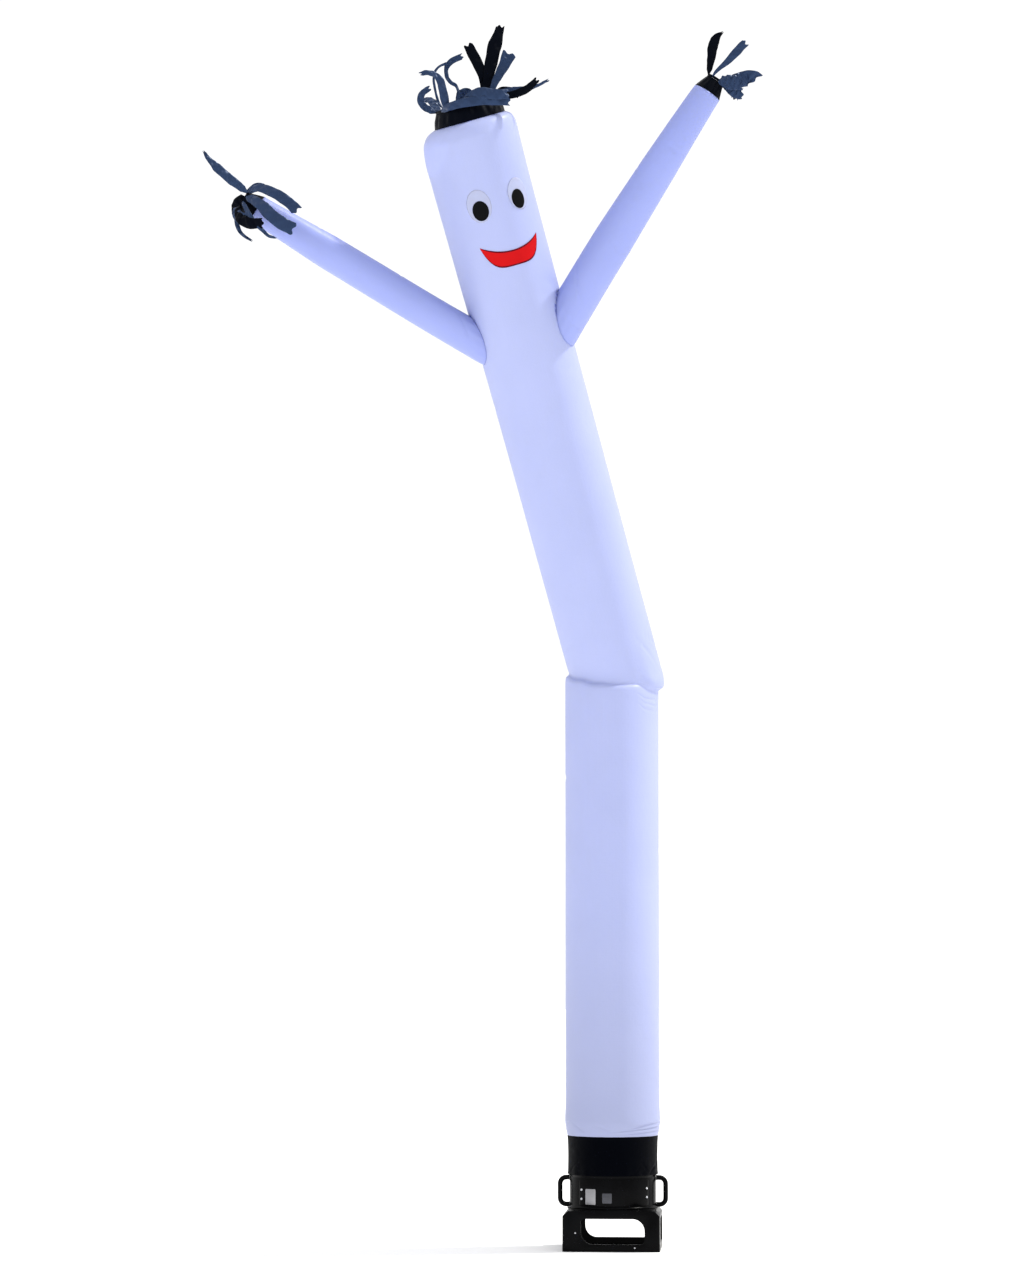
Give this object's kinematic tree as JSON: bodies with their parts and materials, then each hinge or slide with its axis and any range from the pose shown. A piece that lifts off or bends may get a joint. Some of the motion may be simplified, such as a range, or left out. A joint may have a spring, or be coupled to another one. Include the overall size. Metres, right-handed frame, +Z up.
{
  "type": "inflatable air dancer with blower",
  "caption": "Tall white cloth tube figure with a smiling face, two raised arms and black streamers, blown up by a round fan housing on a square base.",
  "frame": {"origin": "on the ground under the centre of the blower's square base", "axes": "+Z up, +X to the viewer's right, the blower's front with the plates faces -Y"},
  "size_m": [2.651, 1.1645, 5.9215],
  "materials": {
    "white_ripstop": "slightly shiny coated ripstop",
    "black_ripstop": "slightly shiny coated ripstop",
    "black_plastic": "fine grained moulded plastic",
    "grey_plate": "satin, left blank",
    "eye_cloth": "matte",
    "pupil_cloth": "matte",
    "red_cloth": "matte"
  },
  "bodies": {
    "root": {"arm_left": "white_ripstop", "arm_right": "white_ripstop", "base_sleeve": "black_ripstop", "blower_base": "black_plastic", "blower_drum": "black_plastic", "blower_panel": "black_plastic", "body_tube": "white_ripstop", "crown_band": "black_ripstop", "cuff_left": "black_ripstop", "cuff_right": "black_ripstop", "eye_white_left": "eye_cloth", "eye_white_right": "eye_cloth", "hair": "black_ripstop", "handle_left": "black_plastic", "handle_right": "black_plastic", "mouth": "red_cloth", "pupil_left": "pupil_cloth", "pupil_right": "pupil_cloth", "rating_plate": "grey_plate", "square_plate": "grey_plate", "streamers_left": "black_ripstop", "streamers_right": "black_ripstop"}
  },
  "joints": []
}
